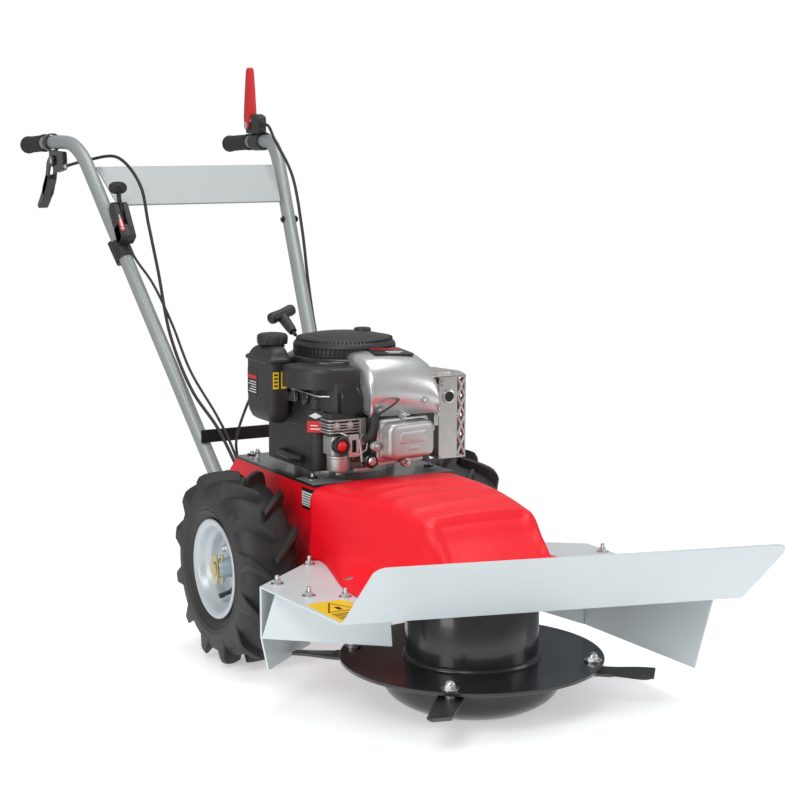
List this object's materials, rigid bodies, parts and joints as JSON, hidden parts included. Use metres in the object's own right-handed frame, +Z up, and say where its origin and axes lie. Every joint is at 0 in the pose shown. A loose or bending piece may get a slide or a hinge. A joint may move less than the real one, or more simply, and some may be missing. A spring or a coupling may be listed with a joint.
{
  "type": "brush mower",
  "caption": "Walk-behind brush mower: swinging-blade rotor under sheet guards and a red hood, vertical-shaft engine, two driven wheels, long handlebar.",
  "frame": {"origin": "centre of the skid dish's floor, under the cutter spindle", "axes": "+X towards the operator's left, +Y back towards the handlebar, +Z up; the machine works towards -Y and stands 1.4 degrees nose down, so its own axes are turned by that pitch about X"},
  "size_m": [0.6444, 1.872, 1.0927],
  "materials": {
    "red_paint": "gloss",
    "hood_red": "gloss",
    "guard_grey": "satin",
    "black_paint": "gloss",
    "black_plastic": "satin",
    "blade_steel": "satin",
    "zinc_steel": "satin",
    "cast_aluminium": "satin",
    "silver_shroud": "satin",
    "black_rubber": "matte",
    "tyre_rubber": "matte",
    "rim_grey": "satin",
    "tube_grey": "satin",
    "red_plastic": "satin"
  },
  "bodies": {
    "chassis": {"right_side_plate": "red_paint", "left_side_plate": "red_paint", "neck_plate": "red_paint", "engine_deck_plate": "black_paint", "front_hood": "hood_red", "front_deflector": "guard_grey", "right_side_guard": "guard_grey", "left_side_guard": "guard_grey", "spindle_housing": "cast_aluminium", "gearbox_housing": "cast_aluminium", "blade_belt": "black_rubber", "drive_belt": "black_rubber", "crankcase": "cast_aluminium", "rocker_cover": "cast_aluminium", "recoil_cover": "black_plastic", "engine_cowl": "black_plastic", "blower_shroud": "silver_shroud", "air_filter_box": "black_plastic", "fuel_tank": "black_plastic", "carburettor": "cast_aluminium", "muffler": "cast_aluminium", "muffler_guard": "zinc_steel"},
    "cutter": {"spindle_shaft": "zinc_steel", "spindle_pulley": "zinc_steel", "cutter_disc": "black_paint", "cutter_drum": "black_paint"},
    "skid": {"skid_dish": "black_paint"},
    "swing_blade_1": {"blade_1": "blade_steel"},
    "swing_blade_2": {"blade_2": "blade_steel"},
    "swing_blade_3": {"blade_3": "blade_steel"},
    "swing_blade_4": {"blade_4": "blade_steel"},
    "crank": {"crankshaft": "zinc_steel", "flywheel": "cast_aluminium"},
    "gearbox_input": {"gearbox_input_pulley": "zinc_steel"},
    "right_wheel": {"right_tyre": "tyre_rubber", "right_rim": "rim_grey", "right_axle_shaft": "zinc_steel"},
    "left_wheel": {"left_tyre": "tyre_rubber", "left_rim": "rim_grey", "left_axle_shaft": "zinc_steel"},
    "handlebar": {"right_handle_tube": "tube_grey", "left_handle_tube": "tube_grey", "handle_cross_plate": "tube_grey", "lower_crossbar": "black_paint", "right_grip": "black_rubber", "left_grip": "black_rubber", "clutch_lever_mount": "black_paint", "blade_lever_mount": "black_plastic", "throttle_housing": "black_plastic", "clutch_cable": "black_rubber", "blade_cable": "black_rubber", "throttle_cable": "black_rubber"},
    "clutch_control": {"clutch_lever": "black_paint"},
    "blade_control": {"blade_lever": "red_plastic"},
    "throttle_control": {"throttle_lever": "black_plastic"},
    "blade_tensioner": {"blade_tension_arm": "zinc_steel"},
    "drive_tensioner": {"drive_tension_arm": "zinc_steel"},
    "tank_cap": {"fuel_cap": "black_plastic"},
    "primer": {"primer_bulb": "red_plastic"},
    "starter_grip": {"recoil_handle": "black_plastic"}
  },
  "joints": [
    {"name": "cutter_spin", "type": "hinge", "parent": "chassis", "child": "cutter", "pos_m": [0, -0.00038, 0.01499], "axis": [0, -0.0251, 0.9997], "continuous": true},
    {"name": "skid_spin", "type": "hinge", "parent": "chassis", "child": "skid", "pos_m": [0, -0.00038, 0.01499], "axis": [0, -0.0251, 0.9997], "continuous": true},
    {"name": "blade_1_swing", "type": "hinge", "parent": "cutter", "child": "swing_blade_1", "pos_m": [-0.13121, -0.15253, 0.06119], "axis": [0, -0.0251, 0.9997], "range_deg": [-90, 90]},
    {"name": "blade_2_swing", "type": "hinge", "parent": "cutter", "child": "swing_blade_2", "pos_m": [0.15094, -0.1328, 0.06168], "axis": [0, -0.0251, 0.9997], "range_deg": [-90, 90]},
    {"name": "blade_3_swing", "type": "hinge", "parent": "cutter", "child": "swing_blade_3", "pos_m": [0.13121, 0.14926, 0.06877], "axis": [0, -0.0251, 0.9997], "range_deg": [-90, 90]},
    {"name": "blade_4_swing", "type": "hinge", "parent": "cutter", "child": "swing_blade_4", "pos_m": [-0.15094, 0.12954, 0.06828], "axis": [0, -0.0251, 0.9997], "range_deg": [-90, 90]},
    {"name": "crank_spin", "type": "hinge", "parent": "chassis", "child": "crank", "pos_m": [0, 0.43943, 0.42618], "axis": [0, -0.0251, 0.9997], "continuous": true},
    {"name": "gearbox_input_spin", "type": "hinge", "parent": "chassis", "child": "gearbox_input", "pos_m": [0, 0.32333, 0.26921], "axis": [0, -0.0251, 0.9997], "continuous": true},
    {"name": "right_wheel_spin", "type": "hinge", "parent": "chassis", "child": "right_wheel", "pos_m": [-0.219, 0.43885, 0.17059], "axis": [1, 0, 0], "continuous": true},
    {"name": "left_wheel_spin", "type": "hinge", "parent": "chassis", "child": "left_wheel", "pos_m": [0.219, 0.43885, 0.17059], "axis": [1, 0, 0], "continuous": true},
    {"name": "handlebar_tilt", "type": "hinge", "parent": "chassis", "child": "handlebar", "pos_m": [0, 0.6849, 0.21158], "axis": [1, 0, 0], "range_deg": [-6, 8]},
    {"name": "clutch_lever_pull", "type": "hinge", "parent": "handlebar", "child": "clutch_control", "pos_m": [-0.24, 1.28604, 0.88961], "axis": [1, 0, 0], "range_deg": [0, 35], "stiffness_Nm_per_rad": 1},
    {"name": "blade_lever_pull", "type": "hinge", "parent": "handlebar", "child": "blade_control", "pos_m": [0.225, 1.30822, 0.96219], "axis": [-1, 0, 0], "range_deg": [0, 60]},
    {"name": "throttle_lever_turn", "type": "hinge", "parent": "handlebar", "child": "throttle_control", "pos_m": [-0.192, 1.03109, 0.76516], "axis": [1, 0, 0], "range_deg": [-10, 40]},
    {"name": "blade_tensioner_swing", "type": "hinge", "parent": "chassis", "child": "blade_tensioner", "pos_m": [-0.096, 0.18254, 0.21966], "axis": [0, 0.0251, -0.9997], "range_deg": [0, 7]},
    {"name": "drive_tensioner_swing", "type": "hinge", "parent": "chassis", "child": "drive_tensioner", "pos_m": [-0.098, 0.34285, 0.28871], "axis": [0, 0.0251, -0.9997], "range_deg": [0, 7.5]},
    {"name": "fuel_cap_turn", "type": "hinge", "parent": "chassis", "child": "tank_cap", "pos_m": [-0.13, 0.4659, 0.56689], "axis": [0, -0.0251, 0.9997], "range_deg": [0, 90]},
    {"name": "primer_press", "type": "slide", "parent": "chassis", "child": "primer", "axis": [0, 0.9997, 0.0251], "range_m": [0, 0.006], "stiffness_N_per_m": 500},
    {"name": "starter_pull", "type": "slide", "parent": "chassis", "child": "starter_grip", "axis": [-0.1406, 0.7781, 0.6122], "range_m": [0, 0.45], "stiffness_N_per_m": 25, "springref_m": -0.2}
  ],
  "couplings": [
    {"joint": "crank_spin", "follows": "cutter_spin", "ratio": 1.6667},
    {"joint": "gearbox_input_spin", "follows": "cutter_spin", "ratio": 1.4},
    {"joint": "blade_tensioner_swing", "follows": "blade_lever_pull", "ratio": 0.1},
    {"joint": "drive_tensioner_swing", "follows": "clutch_lever_pull", "ratio": 0.2}
  ]
}
